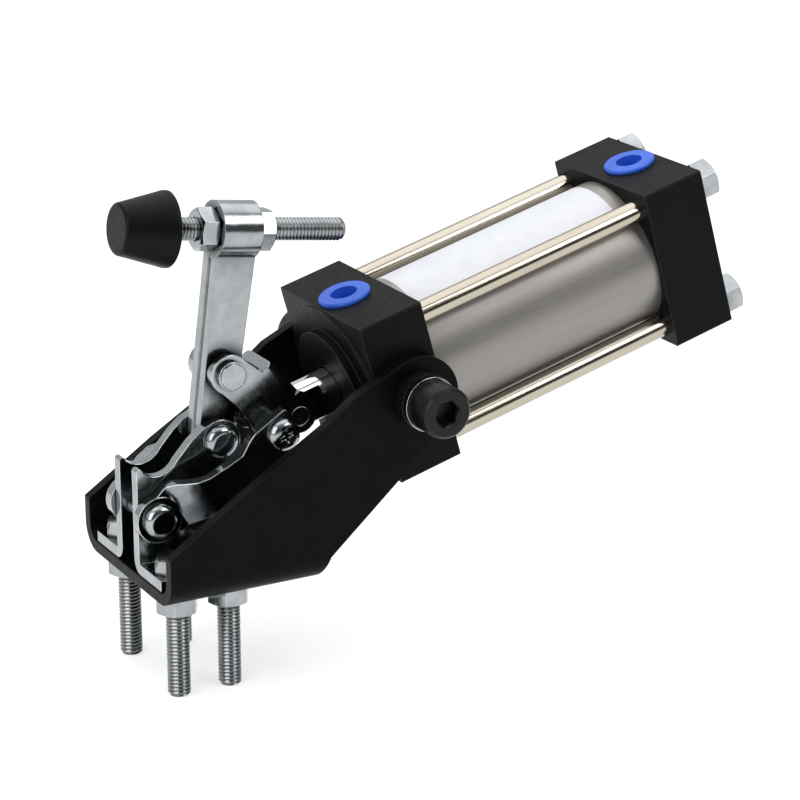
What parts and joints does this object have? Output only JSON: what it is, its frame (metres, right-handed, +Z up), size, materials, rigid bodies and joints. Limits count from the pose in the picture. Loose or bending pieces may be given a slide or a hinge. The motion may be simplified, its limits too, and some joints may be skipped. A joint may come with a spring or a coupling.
{
  "type": "pneumatic power clamp",
  "caption": "Pneumatic toggle clamp: a tie-rod cylinder on a trunnion bracket drives a folded hold-down arm with an adjustable rubber-capped spindle.",
  "frame": {"origin": "middle of the four mounting studs, in the plane of the nuts' lower faces, 5 mm below the bracket's flat underside", "axes": "+X towards the cylinder's rear, +Z up away from the mounting surface, +Y to the far side"},
  "size_m": [0.177, 0.0836, 0.1286],
  "materials": {
    "black_paint": "semi-gloss black paint",
    "zinc_sheet": "bright zinc plate on stamped steel",
    "zinc_hardware": "bright zinc plate",
    "hard_chrome": "ground and hard-chromed",
    "cast_aluminium": "satin machined aluminium",
    "black_anodised": "black anodised aluminium",
    "tube_aluminium": "anodised, with a bare white label",
    "tie_rod_steel": "plated steel",
    "blue_plastic": "moulded",
    "cap_rubber": "moulded matt rubber",
    "seal_rubber": "nitrile rubber",
    "wear_plastic": "bearing plastic",
    "bronze": "sintered bronze",
    "black_oxide": "black oxide steel"
  },
  "bodies": {
    "root": {"bracket": "black_paint", "base_plate_near": "zinc_sheet", "base_plate_far": "zinc_sheet", "mounting_bolts": "zinc_hardware", "mounting_nuts": "zinc_hardware", "arm_pivot_rivet": "zinc_hardware", "link_pivot_rivet": "zinc_hardware", "trunnion_screws": "black_oxide", "spring_washers": "zinc_hardware", "trunnion_bushes": "black_oxide"},
    "clamp_arm": {"arm": "zinc_sheet", "coupler_rivet": "zinc_hardware", "spindle_nut_front": "zinc_hardware", "spindle_nut_rear": "zinc_hardware"},
    "links": {"link_near": "zinc_sheet", "link_far": "zinc_sheet", "knee_spacers": "zinc_hardware", "knee_screws": "zinc_hardware"},
    "coupler": {"coupler": "zinc_sheet", "rod_pin": "zinc_hardware"},
    "rod": {"piston_rod": "hard_chrome", "piston": "cast_aluminium", "piston_seal": "seal_rubber", "wear_ring": "wear_plastic"},
    "cylinder": {"front_head": "black_anodised", "rear_head": "black_anodised", "tube": "tube_aluminium", "tube_seals": "seal_rubber", "tie_rods": "tie_rod_steel", "tie_rod_nuts": "zinc_hardware", "port_plug_front": "blue_plastic", "port_plug_rear": "blue_plastic", "rod_bush": "bronze", "rod_seal": "seal_rubber"},
    "spindle": {"spindle": "zinc_hardware", "rubber_cap": "cap_rubber"}
  },
  "joints": [
    {"name": "cylinder_stroke", "type": "slide", "parent": "rod", "child": "cylinder", "axis": [0.962, 0, 0.2731], "range_m": [0, 0.0472]},
    {"name": "arm_pivot", "type": "hinge", "parent": "root", "child": "clamp_arm", "pos_m": [0.0098, 0, 0.0403], "axis": [0, -1, 0], "range_deg": [0, 92.58]},
    {"name": "link_pivot", "type": "hinge", "parent": "root", "child": "links", "pos_m": [-0.009, 0, 0.0232], "axis": [0, -1, 0], "range_deg": [0, 54.58]},
    {"name": "coupler_pivot", "type": "hinge", "parent": "clamp_arm", "child": "coupler", "pos_m": [0.0129, 0, 0.0575], "axis": [0, -1, 0], "range_deg": [0, 48.41]},
    {"name": "rod_pin_pivot", "type": "hinge", "parent": "coupler", "child": "rod", "pos_m": [0.03256, 0, 0.04322], "axis": [0, -1, 0], "range_deg": [-169.61, 0]},
    {"name": "spindle_adjust", "type": "slide", "parent": "clamp_arm", "child": "spindle", "axis": [0.9919, 0, -0.1271], "range_m": [-0.018, 0.007]}
  ],
  "couplings": [
    {"joint": "arm_pivot", "follows": "cylinder_stroke", "rad_per_m": 34.233},
    {"joint": "link_pivot", "follows": "cylinder_stroke", "rad_per_m": 20.182},
    {"joint": "coupler_pivot", "follows": "cylinder_stroke", "rad_per_m": 17.902},
    {"joint": "rod_pin_pivot", "follows": "cylinder_stroke", "rad_per_m": -62.716}
  ]
}
